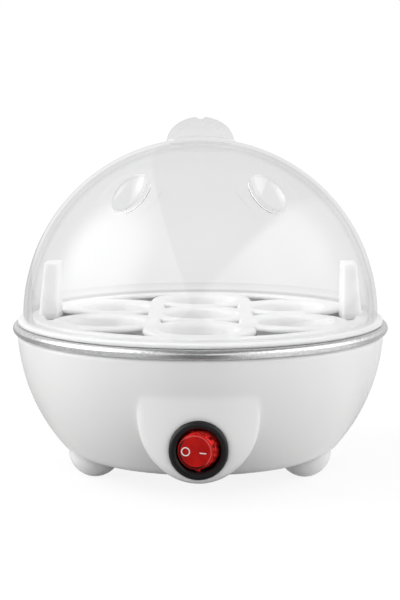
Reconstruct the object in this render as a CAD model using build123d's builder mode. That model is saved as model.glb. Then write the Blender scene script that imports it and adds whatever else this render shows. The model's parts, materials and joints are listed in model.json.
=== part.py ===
from build123d import *
import os
from math import acos, asin, atan2, cos, degrees, radians, sin, sqrt

# Electric egg cooker in millimetres, +Z up, front towards -Y.
# The origin lies on the floor, under the centre of the rolled rim.

# Clearances shared by all pieces
overrun = 2.0  # how far a cutting shape runs past what it cuts
touch_gap = 0.05  # between pieces that are pressed or screwed together
seat_gap = 0.1  # under a piece that is lifted off
fit_gap = 0.05  # radial clearance of pins, screws and blades in their holes
drop_gap = 0.25  # around a piece that is laid into a recess

# Rolled rim and water dish
rim_radius = 80.0
rim_roll_radius = 2.05
rim_drop = 1.0  # from the centre of the bowl's sphere down to the roll's centre
rim_open_angle = 100.0  # part of the roll left open underneath
dish_sheet = 0.6
dish_flange = 6.8  # from the dish's wall to the rim's outer edge
dish_depth = 16.4
dish_corner_radius = 12.0
dish_bend_radius = 1.6

# Bowl of the base housing
bowl_inset = 1.8  # from the rim's outer edge
bowl_depth_share = 0.69054  # of the bowl's radius
bowl_floor_height = 8.0
bowl_corner_radius = 10.0
housing_wall = 2.2

# Ball feet
foot_radius = 11.1
foot_flat_radius = 2.6
foot_inset = 3.35  # from where the floor starts to turn up
foot_angle = 25.514  # from the side towards front and rear

# Switch pod on the front of the bowl
pod_half_width = 24.0
pod_top_height = 44.3  # where the pod's face leaves the bowl
pod_side_height = 36.0  # lower end of the pod's straight sides
pod_drop = 26.3  # height of the half ellipse under the sides
pod_edge_radius = 3.6
switch_height = 23.5

# Rear seat for the cord gland
gland_height = 34.0
gland_seat_proud = 2.0
gland_seat_radius = 9.5
gland_seat_wall = 3.0
gland_flange_radius = 7.6
gland_flange = 2.0
gland_neck_radius = 5.6
gland_lip = 0.6
gland_lip_length = 2.4
gland_bore_radius = 3.3

# Bottom cover and its screws
cover_inset = 14.9  # from where the floor starts to turn up
cover_ledge = 4.0
cover_flange = 1.1
cover_plug_margin = 2.2
cover_screw_count = 3
cover_screw_angle = 270.0
cover_boss_radius = 3.2
cover_boss_height = 7.0
cover_screw_radius = 1.3
cover_screw_bite = 4.8
cover_head_radius = 2.7
cover_head = 1.7
driver_slot_width = 0.7
driver_slot_depth = 0.7

# Posts and screws that hold the dish down
stud_inset = 6.1  # from where the floor starts to turn up
stud_count = 3
stud_angle = 60.0
stud_radius = 3.0
stud_length = 16.0
dish_boss_radius = 5.0
dish_boss_cap = 3.0
dish_screw_radius = 1.6
dish_screw_bite = 8.0
dish_head_radius = 3.1
dish_head = 2.2
dish_head_clearance = 0.4

# Heater
spreader_inset = 6.0  # inside the circle of the posts
spreader_thickness = 5.0
heater_inset = 6.0  # inside the spreader's edge
heater_radius = 3.3
heater_gap_angle = 60.0  # open part of the ring, towards the rear
heater_bend_radius = 7.0
heater_tail = 1.5
bead_radius = 2.5
bead_length = 4.0
pin_radius = 1.1
pin_length = 5.5

# Thermostat and its clip
thermostat_radius = 7.4
thermostat_length = 8.0
thermostat_cap_radius = 8.4
thermostat_cap_height = 2.6
thermostat_blade_pitch = 8.0
blade_thickness = 0.8
blade_width = 4.8
thermostat_blade_length = 5.5
thermostat_blade_root = 3.0
clip_sheet = 0.8
clip_width = 19.0
clip_span = 13.6  # from the axis to a clip screw
clip_foot_reach = 3.4
clip_screw_radius = 1.2
clip_screw_bite = 3.2
clip_head_radius = 2.3
clip_head = 1.4

# Thermal fuse
fuse_place_y = 16.5
fuse_radius = 1.8
fuse_length = 11.0
fuse_sleeve_wall = 0.5
fuse_sleeve_length = 16.0
fuse_wire_radius = 0.5
fuse_clip_width = 6.0
fuse_clip_tab = 5.6

# Terminal block inside the rear wall
block_inset = 6.6  # from where the floor starts to turn up
block_length = 21.0
block_depth = 9.0
block_height = 9.0
block_pad_height = 1.0
block_pad_radius = 3.4
block_pole_pitch = 13.0
block_pole_height = 3.6  # pole axis above the block's underside
block_pole_radius = 2.5
block_screw_radius = 1.3
block_screw_bite = 2.4
block_head_radius = 2.4
block_head = 1.5
clamp_screw_radius = 1.25
clamp_screw_spacing = 5.0
clamp_screw_proud = 0.6

# Round rocker switch
bezel_radius = 11.5
bezel_thickness = 2.2
bezel_edge_radius = 1.2
bezel_lip = 0.7
cutout_radius = 10.0
barrel_wall = 1.3
barrel_length = 16.3
barrel_floor = 1.5
latch_height = 0.8
latch_width = 4.0
latch_length = 5.0
rocker_pivot_depth = 5.0  # behind the bezel's front
rocker_tilt = 12.0  # each way from the middle
rocker_gap = 0.5
rocker_side_depth = 3.0
rocker_face_reach = 6.0
rocker_face_half_width = 6.95
rocker_face_half_height = 6.85
rocker_face_edge = 0.6
rocker_wall = 1.6
rocker_pin_radius = 1.2
rocker_pin_bite = 0.8
stem_radius = 2.2
stem_reach = 4.0
plunger_radius = 1.1
plunger_proud = 3.0
plunger_length = 5.4
spring_wall = 0.3
spring_length = 2.6
lamp_radius = 1.3
lamp_length = 5.2
lever_gap = 0.35
lever_thickness = 0.6
lever_half_length = 5.6
lever_width = 3.6
lever_tilt = 6.0
lever_pivot_radius = 0.4
terminal_pitch = 5.0
terminal_proud = 9.0
lamp_terminal_bite = 1.5

# Egg tray
tray_inset = 2.2  # from the rim's outer edge
tray_plate = 1.8
tray_step_clearance = 1.8  # inside the lid's band
tray_step = 1.2
tray_rim_width = 5.4
tray_skirt_height = 4.0
tray_skirt_wall = 1.6
tray_skirt_clearance = 0.6
socket_ring_count = 6  # around the one in the middle
socket_rim_overlap = 1.55  # how far the outer rings run into the tray's rim
socket_ring_width = 7.15
socket_taper = 5.0
socket_depth = 13.0
socket_wall = 1.6
socket_lip_radius = 2.4
socket_ring_overlap = 0.3  # how far two neighbouring rings run into each other
tray_gap_corner = 0.7
tray_gap_edge_radius = 1.2
tray_edge_radius = 0.6
handle_setback = 7.1  # from the step to the handle's middle
handle_height = 22.0
handle_foot_depth = 8.8
handle_top_depth = 6.2
handle_lean = 1.3  # how far the top stands further in than the foot
handle_foot_width = 17.0
handle_top_width = 14.0
handle_corner_radius = 1.6
handle_wall = 1.7

# Lid
lid_inset = 4.4  # from the rim's outer edge
lid_wall = 1.8
lid_band_wall = 2.3
lid_band_height = 5.0
knob_half_width = 14.2
knob_half_height = 10.5
knob_half_depth = 6.0
knob_sink = 1.6  # how far the knob's centre lies under the dome's top
knob_edge_radius = 3.6
knob_notch_radius = 2.4
knob_notch_depth = 1.0
knob_root_radius = 1.2
vent_side_angle = 32.8  # each side of the front
vent_polar_angle = 42.5  # down from the top of the dome
vent_half_length = 12.0
vent_half_width = 7.8
vent_lift = 3.6
vent_hole_radius = 1.2
vent_hole_share = 0.66
vent_edge_radius = 0.8

# Leads inside the base
lead_radius = 1.1
lead_bend = 2.0
lead_lane_inset = 11.0  # from the heater's circle in to the two side lanes
lead_lane_rise = 4.8  # above the floor
lead_lane_front = 16.0
lead_turn_run = 12.0  # behind the switch's blades
lead_cross_run = 22.0
lead_rise_run = 11.0
lead_drop = 3.4
lead_side = 3.5
lead_pair_gap = 0.3

full_turn = 360.0
half_turn = 180.0


def bowl_section(inset):
    """Half section of the bowl, set in by a wall thickness, closed at the axis."""
    radius = bowl_radius - inset
    corner = bowl_corner_radius - inset
    floor = bowl_floor_height + inset
    corner_angle = degrees(atan2(bowl_corner_height - bowl_centre_height, bowl_corner_place))
    top_angle = degrees(asin((housing_top - bowl_centre_height) / radius))
    with BuildSketch() as section:
        with BuildLine():
            side = CenterArc((0, bowl_centre_height), radius, top_angle, corner_angle - top_angle)
            turn = CenterArc(
                (bowl_corner_place, bowl_corner_height), corner, corner_angle, -90 - corner_angle
            )
            Polyline(turn @ 1, (0, floor), (0, housing_top), side @ 0)
        make_face()
    return section.sketch


def pod_body(inset):
    """Front pod, set in by a wall thickness: upright rounded face on a U-shaped outline."""
    with BuildPart() as pod:
        with BuildSketch(Plane.XZ):
            with BuildLine():
                half = pod_half_width - inset
                middle = (0, pod_side_height)
                EllipticalCenterArc(middle, half, pod_drop - inset, half_turn, arc_size=half_turn)
                Polyline(
                    (half, pod_side_height),
                    (half, pod_roof_height),
                    (-half, pod_roof_height),
                    (-half, pod_side_height),
                )
            make_face()
        extrude(amount=pod_face_radius + overrun)
        with BuildSketch(Plane.XY):
            Circle(pod_face_radius - inset)
        extrude(amount=pod_roof_height + overrun, mode=Mode.INTERSECT)
        front = pod.faces().sort_by(Axis.Y)[0]
        fillet(front.edges().sort_by(Axis.Z)[:-1], pod_edge_radius - inset)
    return pod.part


def lead_tube(*points):
    """Insulated lead along straight runs with rounded corners."""
    with BuildPart() as tube:
        with BuildLine() as route:
            FilletPolyline(*points, radius=lead_bend)
        with BuildSketch(Plane(route.line @ 0, z_dir=route.line % 0)):
            Circle(lead_radius)
        sweep()
    return tube.part


def write_piece(part, name):
    """Name a finished piece and write it as its own file."""
    part.label = name
    export_step(part, "parts/" + name + ".step")


os.makedirs("parts", exist_ok=True)

# Places worked out from the driving dimensions
dish_radius = rim_radius - dish_flange
bowl_radius = rim_radius - bowl_inset
lid_radius = rim_radius - lid_inset
tray_radius = rim_radius - tray_inset
bowl_centre_height = bowl_floor_height + bowl_depth_share * bowl_radius
rim_level = bowl_centre_height - rim_drop
rim_top = rim_level + rim_roll_radius
rim_roll_place = rim_radius - rim_roll_radius
housing_top = rim_level - rim_roll_radius - touch_gap
bowl_corner_height = bowl_floor_height + bowl_corner_radius
bowl_corner_place = sqrt(
    (bowl_radius - bowl_corner_radius) ** 2 - (bowl_centre_height - bowl_corner_height) ** 2
)
inner_floor = bowl_floor_height + housing_wall
foot_place_x = (bowl_corner_place - foot_inset) * cos(radians(foot_angle))
foot_place_y = (bowl_corner_place - foot_inset) * sin(radians(foot_angle))
gland_seat_reach = gland_seat_proud + sqrt(bowl_radius**2 - (bowl_centre_height - gland_height) ** 2)
cover_radius = bowl_corner_place - cover_inset
stud_circle = bowl_corner_place - stud_inset
spreader_radius = stud_circle - spreader_inset
heater_circle = spreader_radius - heater_inset
block_place_y = bowl_corner_place - block_inset
foot_centre_height = sqrt(foot_radius**2 - foot_flat_radius**2)
pod_face_radius = sqrt(bowl_radius**2 - (bowl_centre_height - pod_top_height) ** 2)
pod_roof_height = pod_top_height + housing_wall
dish_floor = rim_top - dish_depth
dish_underside = dish_floor - dish_sheet
cover_hole_radius = cover_radius - cover_ledge
cover_screw_circle = cover_radius - cover_ledge / 2
stud_top = dish_underside - touch_gap
dish_boss_top = stud_top - stud_length - touch_gap
panel_face = -sqrt(pod_face_radius**2 - (bezel_radius + drop_gap) ** 2)

# Base housing: bowl, pod and ball feet in one moulding
with BuildPart() as housing_cavity:
    with BuildSketch(Plane.XZ):
        add(bowl_section(housing_wall))
    revolve(axis=Axis.Z)
    add(pod_body(housing_wall))
    with BuildSketch(Plane.XZ.offset(-gland_seat_reach + gland_seat_wall)):
        with Locations((0, gland_height)):
            Circle(gland_flange_radius)
    extrude(amount=gland_seat_wall + gland_seat_radius)
    with Locations((0, 0, foot_centre_height)):
        with GridLocations(2 * foot_place_x, 2 * foot_place_y, 2, 2):
            Sphere(foot_radius - housing_wall)

with BuildPart() as base_housing:
    with BuildSketch(Plane.XZ):
        add(bowl_section(0))
    revolve(axis=Axis.Z)
    add(pod_body(0))
    with BuildSketch(Plane.XZ.offset(-gland_seat_reach)):
        with Locations((0, gland_height)):
            Circle(gland_seat_radius)
    extrude(amount=gland_seat_reach - bowl_corner_place)
    with Locations((0, 0, foot_centre_height)):
        with GridLocations(2 * foot_place_x, 2 * foot_place_y, 2, 2):
            Sphere(foot_radius)
    split(bisect_by=Plane.XY, keep=Keep.TOP)
    add(housing_cavity.part, mode=Mode.SUBTRACT)
    # Open top of the bowl above the cavity
    with BuildSketch(Plane.XY.offset(housing_top - touch_gap)):
        Circle(sqrt((bowl_radius - housing_wall) ** 2 - (bowl_centre_height - housing_top) ** 2))
    extrude(amount=overrun, mode=Mode.SUBTRACT)
    # Bosses and pad that stand on the floor
    with BuildSketch(Plane.XY.offset(bowl_floor_height)):
        with PolarLocations(stud_circle, stud_count, start_angle=stud_angle):
            Circle(dish_boss_radius)
    extrude(amount=dish_boss_top - bowl_floor_height)
    with BuildSketch(Plane.XY.offset(bowl_floor_height)):
        with PolarLocations(cover_screw_circle, cover_screw_count, start_angle=cover_screw_angle):
            Circle(cover_boss_radius)
    extrude(amount=housing_wall + cover_boss_height)
    with BuildSketch(Plane.XY.offset(bowl_floor_height)):
        with Locations((0, block_place_y)):
            Circle(block_pad_radius)
    extrude(amount=housing_wall + block_pad_height)
    # Hole under the bowl with a ledge for the bottom cover
    with BuildSketch(Plane.XY.offset(bowl_floor_height - overrun)):
        Circle(cover_hole_radius - cover_ledge)
    extrude(amount=overrun + housing_wall + cover_boss_height, mode=Mode.SUBTRACT)
    with BuildSketch(Plane.XY.offset(bowl_floor_height - overrun)):
        Circle(cover_hole_radius)
        with PolarLocations(cover_screw_circle, cover_screw_count, start_angle=cover_screw_angle):
            Circle(cover_boss_radius, mode=Mode.SUBTRACT)
    extrude(amount=overrun + housing_wall, mode=Mode.SUBTRACT)
    with BuildSketch(Plane.XY.offset(bowl_floor_height - overrun)):
        Circle(cover_radius)
    extrude(amount=overrun + cover_flange, mode=Mode.SUBTRACT)
    # Pilot holes of the cover screws and of the terminal block
    with BuildSketch(Plane.XY.offset(bowl_floor_height)):
        with PolarLocations(cover_screw_circle, cover_screw_count, start_angle=cover_screw_angle):
            Circle(cover_screw_radius + fit_gap)
    extrude(amount=cover_flange + cover_screw_bite + overrun, mode=Mode.SUBTRACT)
    with BuildSketch(Plane.XY.offset(inner_floor + block_pad_height - block_screw_bite)):
        with Locations((0, block_place_y)):
            Circle(block_screw_radius + fit_gap)
    extrude(amount=block_screw_bite, mode=Mode.SUBTRACT)
    # Screw wells of the dish screws, open underneath
    with BuildSketch(Plane.XY.offset(bowl_floor_height)):
        with PolarLocations(stud_circle, stud_count, start_angle=stud_angle):
            Circle(dish_head_radius + dish_head_clearance)
    extrude(amount=dish_boss_top - dish_boss_cap - bowl_floor_height, mode=Mode.SUBTRACT)
    with BuildSketch(Plane.XY.offset(bowl_floor_height)):
        with PolarLocations(stud_circle, stud_count, start_angle=stud_angle):
            Circle(dish_screw_radius + drop_gap)
    extrude(amount=dish_boss_top - bowl_floor_height, mode=Mode.SUBTRACT)
    # Flat seat and round cut-out for the switch
    with BuildSketch(Plane.XZ.offset(-panel_face)):
        with Locations((0, switch_height)):
            Circle(bezel_radius + drop_gap)
    extrude(amount=housing_wall + overrun, mode=Mode.SUBTRACT)
    with BuildSketch(Plane.XZ.offset(-panel_face - pod_edge_radius)):
        with Locations((0, switch_height)):
            Circle(cutout_radius)
    extrude(amount=pod_edge_radius + overrun, mode=Mode.SUBTRACT)
    # Spot face and hole for the cord gland
    with BuildSketch(Plane.XZ.offset(-gland_seat_reach)):
        with Locations((0, gland_height)):
            Circle(gland_flange_radius + drop_gap)
    extrude(amount=-gland_seat_wall, mode=Mode.SUBTRACT)
    with BuildSketch(Plane.XZ.offset(-gland_seat_reach - overrun)):
        with Locations((0, gland_height)):
            Circle(gland_neck_radius + fit_gap)
    extrude(amount=gland_seat_wall + 2 * overrun, mode=Mode.SUBTRACT)
write_piece(base_housing.part, "base_housing")

# Bottom cover, screwed up against the ledge
with BuildPart() as bottom_cover:
    with BuildSketch(Plane.XY.offset(bowl_floor_height)):
        Circle(cover_radius - drop_gap)
    extrude(amount=cover_flange - touch_gap)
    with BuildSketch(Plane.XY.offset(bowl_floor_height)):
        Circle(cover_hole_radius - cover_plug_margin)
    extrude(amount=housing_wall)
    with BuildSketch(Plane.XY.offset(bowl_floor_height)):
        with PolarLocations(cover_screw_circle, cover_screw_count, start_angle=cover_screw_angle):
            Circle(cover_screw_radius + drop_gap)
    extrude(amount=housing_wall, mode=Mode.SUBTRACT)
write_piece(bottom_cover.part, "bottom_cover")

with BuildPart() as bottom_cover_screws:
    with BuildSketch(Plane.XY.offset(bowl_floor_height - touch_gap)):
        with PolarLocations(cover_screw_circle, cover_screw_count, start_angle=cover_screw_angle):
            Circle(cover_head_radius)
    extrude(amount=-cover_head)
    with BuildSketch(Plane.XY.offset(bowl_floor_height - touch_gap)):
        with PolarLocations(cover_screw_circle, cover_screw_count, start_angle=cover_screw_angle):
            Circle(cover_screw_radius)
    extrude(amount=cover_flange + cover_screw_bite)
    with BuildSketch(Plane.XY.offset(bowl_floor_height - touch_gap - cover_head)):
        with PolarLocations(cover_screw_circle, cover_screw_count, start_angle=cover_screw_angle):
            Rectangle(2 * cover_head_radius + overrun, driver_slot_width)
    extrude(amount=driver_slot_depth, mode=Mode.SUBTRACT)
write_piece(bottom_cover_screws.part, "bottom_cover_screws")

# Water dish of drawn sheet, its edge rolled outwards and down
with BuildPart() as heating_dish:
    with BuildSketch(Plane.XZ):
        roll_turn = rim_open_angle - full_turn
        corner_centre = (dish_radius - dish_corner_radius, dish_floor + dish_corner_radius)
        bend_centre = (dish_radius + dish_bend_radius, rim_top - dish_bend_radius)
        roll_centre = (rim_roll_place, rim_level)
        with BuildLine():
            floor_line = Line((0, dish_floor), (corner_centre[0], dish_floor))
            corner_in = CenterArc(corner_centre, dish_corner_radius, -90, 90)
            bend_out = CenterArc(bend_centre, dish_bend_radius, 180, -90)
            Line(corner_in @ 1, bend_out @ 0)
            roll_out = CenterArc(roll_centre, rim_roll_radius, 90, roll_turn)
            Line(bend_out @ 1, roll_out @ 0)
            roll_in = CenterArc(roll_centre, rim_roll_radius - dish_sheet, 90, roll_turn)
            Line(roll_out @ 1, roll_in @ 1)
            bend_in = CenterArc(bend_centre, dish_bend_radius - dish_sheet, 180, -90)
            Line(roll_in @ 0, bend_in @ 1)
            corner_out = CenterArc(corner_centre, dish_corner_radius + dish_sheet, -90, 90)
            Line(bend_in @ 0, corner_out @ 1)
            Line(corner_out @ 0, (0, dish_underside))
            Line((0, dish_underside), floor_line @ 0)
        make_face()
    revolve(axis=Axis.Z)
write_piece(heating_dish.part, "heating_dish")

# Posts under the dish and the screws that pull them down on the housing's bosses
with BuildPart() as dish_studs:
    with BuildSketch(Plane.XY.offset(stud_top)):
        with PolarLocations(stud_circle, stud_count, start_angle=stud_angle):
            Circle(stud_radius)
    extrude(amount=-stud_length)
    with BuildSketch(Plane.XY.offset(stud_top - stud_length)):
        with PolarLocations(stud_circle, stud_count, start_angle=stud_angle):
            Circle(dish_screw_radius + fit_gap)
    extrude(amount=dish_screw_bite + overrun, mode=Mode.SUBTRACT)
write_piece(dish_studs.part, "dish_studs")

dish_head_seat = dish_boss_top - dish_boss_cap - touch_gap
with BuildPart() as dish_screws:
    with BuildSketch(Plane.XY.offset(dish_head_seat)):
        with PolarLocations(stud_circle, stud_count, start_angle=stud_angle):
            Circle(dish_head_radius)
    extrude(amount=-dish_head)
    with BuildSketch(Plane.XY.offset(dish_head_seat)):
        with PolarLocations(stud_circle, stud_count, start_angle=stud_angle):
            Circle(dish_screw_radius)
    extrude(amount=dish_boss_cap + dish_screw_bite)
    with BuildSketch(Plane.XY.offset(dish_head_seat - dish_head)):
        with PolarLocations(stud_circle, stud_count, start_angle=stud_angle):
            Rectangle(2 * dish_head_radius + overrun, driver_slot_width)
    extrude(amount=driver_slot_depth, mode=Mode.SUBTRACT)
write_piece(dish_screws.part, "dish_screws")

# Aluminium disc under the dish with a groove for the ring element
spreader_top = dish_underside - touch_gap
spreader_underside = spreader_top - spreader_thickness
clip_screw_places = [(-clip_span, 0), (clip_span, 0), (0, fuse_place_y + fuse_clip_tab)]
with BuildPart() as heat_spreader:
    with BuildSketch(Plane.XY.offset(spreader_underside)):
        Circle(spreader_radius)
    extrude(amount=spreader_thickness)
    with BuildSketch(Plane.XZ):
        with Locations((heater_circle, spreader_underside)):
            Circle(heater_radius + touch_gap)
    revolve(axis=Axis.Z, mode=Mode.SUBTRACT)
    with BuildSketch(Plane.XY.offset(spreader_underside)):
        with Locations(*clip_screw_places):
            Circle(clip_screw_radius + fit_gap)
    extrude(amount=clip_screw_bite + fit_gap, mode=Mode.SUBTRACT)
write_piece(heat_spreader.part, "heat_spreader")

# Sheathed ring element, both ends turned down at the rear
ring_start_angle = 90 + heater_gap_angle / 2
ring_turn = full_turn - heater_gap_angle
tail_x = heater_circle * sin(radians(heater_gap_angle / 2)) - heater_bend_radius * cos(
    radians(heater_gap_angle / 2)
)
tail_y = heater_circle * cos(radians(heater_gap_angle / 2)) + heater_bend_radius * sin(
    radians(heater_gap_angle / 2)
)
tail_bottom = spreader_underside - heater_bend_radius - heater_tail
with BuildPart() as heater_ring:
    with BuildLine() as element:
        with BuildLine(Plane.XY.offset(spreader_underside)):
            ring = CenterArc((0, 0), heater_circle, ring_start_angle, ring_turn)
        down = Vector(0, 0, -heater_bend_radius)
        start_out = (ring % 0) * -heater_bend_radius
        end_out = (ring % 1) * heater_bend_radius
        for tip, out in ((ring @ 0, start_out), (ring @ 1, end_out)):
            middle = tip + out * sin(radians(45)) + down * (1 - cos(radians(45)))
            ThreePointArc(tip, middle, tip + out + down)
            Line(tip + out + down, tip + out + down + Vector(0, 0, -heater_tail))
    with BuildSketch(Plane(ring @ 0 + start_out + down + Vector(0, 0, -heater_tail))):
        Circle(heater_radius)
    sweep(path=element.line)
write_piece(heater_ring.part, "heater_ring")

bead_top = tail_bottom - touch_gap
with BuildPart() as heater_insulators:
    with BuildSketch(Plane.XY.offset(bead_top)):
        with Locations((-tail_x, tail_y), (tail_x, tail_y)):
            Circle(bead_radius)
            Circle(pin_radius + fit_gap, mode=Mode.SUBTRACT)
    extrude(amount=-bead_length)
write_piece(heater_insulators.part, "heater_insulators")

pin_bottom = bead_top - pin_length
with BuildPart() as heater_pins:
    with BuildSketch(Plane.XY.offset(bead_top)):
        with Locations((-tail_x, tail_y), (tail_x, tail_y)):
            Circle(pin_radius)
    extrude(amount=-pin_length)
write_piece(heater_pins.part, "heater_pins")

# Snap-disc thermostat pressed against the spreader
cap_top = spreader_underside - touch_gap
thermostat_top = cap_top - thermostat_cap_height - touch_gap
thermostat_bottom = thermostat_top - thermostat_length
with BuildPart() as thermostat_cap:
    with BuildSketch(Plane.XY.offset(cap_top)):
        Circle(thermostat_cap_radius)
    extrude(amount=-thermostat_cap_height)
write_piece(thermostat_cap.part, "thermostat_cap")

with BuildPart() as thermostat_body:
    with BuildSketch(Plane.XY.offset(thermostat_top)):
        Circle(thermostat_radius)
    extrude(amount=-thermostat_length)
    with BuildSketch(Plane.XY.offset(thermostat_bottom)):
        with GridLocations(thermostat_blade_pitch, 0, 2, 1):
            Rectangle(blade_thickness + 2 * fit_gap, blade_width + 2 * fit_gap)
    extrude(amount=thermostat_blade_root + fit_gap, mode=Mode.SUBTRACT)
write_piece(thermostat_body.part, "thermostat_body")

blade_bottom = thermostat_bottom - thermostat_blade_length
with BuildPart() as thermostat_terminals:
    with BuildSketch(Plane.XY.offset(blade_bottom)):
        with GridLocations(thermostat_blade_pitch, 0, 2, 1):
            Rectangle(blade_thickness, blade_width)
    extrude(amount=thermostat_blade_length + thermostat_blade_root)
write_piece(thermostat_terminals.part, "thermostat_terminals")

# Bridge clip under the thermostat's cap, its feet on the spreader
bridge_top = cap_top - thermostat_cap_height - touch_gap
foot_level = spreader_underside - touch_gap
bridge_half = clip_span - clip_foot_reach
with BuildPart() as thermostat_clip:
    with BuildSketch(Plane.XZ):
        with Locations((0, bridge_top)):
            Rectangle(2 * bridge_half, clip_sheet, align=(Align.CENTER, Align.MAX))
        for side in (-1, 1):
            with Locations((side * clip_span, foot_level)):
                Rectangle(2 * clip_foot_reach, clip_sheet, align=(Align.CENTER, Align.MAX))
            with Locations((side * (bridge_half + clip_sheet / 2), foot_level)):
                Rectangle(
                    clip_sheet, foot_level - bridge_top + clip_sheet, align=(Align.CENTER, Align.MAX)
                )
    extrude(amount=clip_width / 2, both=True)
    with BuildSketch(Plane.XY.offset(foot_level)):
        Circle(thermostat_radius + drop_gap)
        with GridLocations(2 * clip_span, 0, 2, 1):
            Circle(clip_screw_radius + drop_gap)
    extrude(amount=bridge_top - foot_level - clip_sheet - overrun, mode=Mode.SUBTRACT)
write_piece(thermostat_clip.part, "thermostat_clip")

# Thermal fuse in its sleeve, held by a small strap
sleeve_bore = fuse_radius + fit_gap
sleeve_radius = sleeve_bore + fuse_sleeve_wall
fuse_height = spreader_underside - touch_gap - sleeve_radius
fuse_plane = Plane((0, fuse_place_y, fuse_height), x_dir=(0, 1, 0), z_dir=(1, 0, 0))
with BuildPart() as thermal_fuse:
    with BuildSketch(fuse_plane):
        Circle(fuse_radius)
    extrude(amount=fuse_length / 2, both=True)
    with BuildSketch(fuse_plane):
        Circle(fuse_wire_radius)
    extrude(amount=fuse_sleeve_length / 2, both=True)
write_piece(thermal_fuse.part, "thermal_fuse")

with BuildPart() as fuse_sleeve:
    with BuildSketch(fuse_plane):
        Circle(sleeve_radius)
        Circle(sleeve_bore, mode=Mode.SUBTRACT)
    extrude(amount=fuse_sleeve_length / 2, both=True)
write_piece(fuse_sleeve.part, "fuse_sleeve")

strap_bore = sleeve_radius + touch_gap
strap_half = strap_bore + clip_sheet
strap_rise = spreader_underside - touch_gap - fuse_height
with BuildPart() as fuse_clip:
    with BuildSketch(fuse_plane):
        Circle(strap_half)
        with Locations((0, strap_rise)):
            Rectangle(2 * strap_half, strap_rise, align=(Align.CENTER, Align.MAX))
            Rectangle(
                fuse_clip_tab + clip_head_radius, clip_sheet, align=(Align.MIN, Align.MAX)
            )
        Circle(strap_bore, mode=Mode.SUBTRACT)
        Rectangle(2 * strap_bore, strap_rise, align=(Align.CENTER, Align.MIN), mode=Mode.SUBTRACT)
        with Locations((0, strap_rise)):
            Rectangle(
                2 * strap_half, 2 * strap_half, align=(Align.CENTER, Align.MIN), mode=Mode.SUBTRACT
            )
    extrude(amount=fuse_clip_width / 2, both=True)
    with BuildSketch(Plane.XY.offset(foot_level)):
        with Locations((0, fuse_place_y + fuse_clip_tab)):
            Circle(clip_screw_radius + drop_gap)
    extrude(amount=-clip_sheet - overrun, mode=Mode.SUBTRACT)
write_piece(fuse_clip.part, "fuse_clip")

clip_head_seat = foot_level - clip_sheet - touch_gap
with BuildPart() as clip_screws:
    with BuildSketch(Plane.XY.offset(clip_head_seat)):
        with Locations(*clip_screw_places):
            Circle(clip_head_radius)
    extrude(amount=-clip_head)
    with BuildSketch(Plane.XY.offset(clip_head_seat)):
        with Locations(*clip_screw_places):
            Circle(clip_screw_radius)
    extrude(amount=clip_sheet + clip_screw_bite)
    with BuildSketch(Plane.XY.offset(clip_head_seat - clip_head)):
        with Locations(*clip_screw_places):
            Rectangle(2 * clip_head_radius + overrun, driver_slot_width)
    extrude(amount=driver_slot_depth, mode=Mode.SUBTRACT)
write_piece(clip_screws.part, "clip_screws")

# Ceramic terminal block on its pad inside the rear wall
block_underside = inner_floor + block_pad_height + touch_gap
block_top = block_underside + block_height
pole_height = block_underside + block_pole_height
block_front = block_place_y - block_depth / 2
pole_places = [(-block_pole_pitch / 2, pole_height), (block_pole_pitch / 2, pole_height)]
clamp_places = [
    (side * block_pole_pitch / 2, block_place_y + end * clamp_screw_spacing / 2)
    for side in (-1, 1)
    for end in (-1, 1)
]
with BuildPart() as terminal_block:
    with BuildSketch(Plane.XY.offset(block_underside)):
        with Locations((0, block_place_y)):
            Rectangle(block_length, block_depth)
    extrude(amount=block_height)
    with BuildSketch(Plane.XZ.offset(-block_place_y)):
        with Locations(*pole_places):
            Circle(block_pole_radius)
    extrude(amount=block_depth, both=True, mode=Mode.SUBTRACT)
    with BuildSketch(Plane.XY.offset(pole_height)):
        with Locations(*clamp_places):
            Circle(clamp_screw_radius + fit_gap)
    extrude(amount=block_height, mode=Mode.SUBTRACT)
    with BuildSketch(Plane.XY.offset(block_underside)):
        with Locations((0, block_place_y)):
            Circle(block_screw_radius + drop_gap)
    extrude(amount=block_height, mode=Mode.SUBTRACT)
write_piece(terminal_block.part, "terminal_block")

with BuildPart() as terminal_screws:
    with BuildSketch(Plane.XY.offset(block_top + clamp_screw_proud)):
        with Locations(*clamp_places):
            Circle(clamp_screw_radius)
    extrude(amount=pole_height + block_pole_radius - block_top - clamp_screw_proud)
    with BuildSketch(Plane.XY.offset(block_top + clamp_screw_proud - driver_slot_depth)):
        with Locations(*clamp_places):
            Rectangle(2 * clamp_screw_radius + overrun, driver_slot_width)
    extrude(amount=driver_slot_depth, mode=Mode.SUBTRACT)
write_piece(terminal_screws.part, "terminal_screws")

with BuildPart() as terminal_block_screw:
    with BuildSketch(Plane.XY.offset(block_top + touch_gap)):
        with Locations((0, block_place_y)):
            Circle(block_head_radius)
    extrude(amount=block_head)
    with BuildSketch(Plane.XY.offset(block_top + touch_gap)):
        with Locations((0, block_place_y)):
            Circle(block_screw_radius)
    extrude(amount=-block_height - block_screw_bite + fit_gap)
    with BuildSketch(Plane.XY.offset(block_top + touch_gap + block_head - driver_slot_depth)):
        with Locations((0, block_place_y)):
            Rectangle(2 * block_head_radius + overrun, driver_slot_width)
    extrude(amount=driver_slot_depth, mode=Mode.SUBTRACT)
write_piece(terminal_block_screw.part, "terminal_block_screw")

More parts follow.
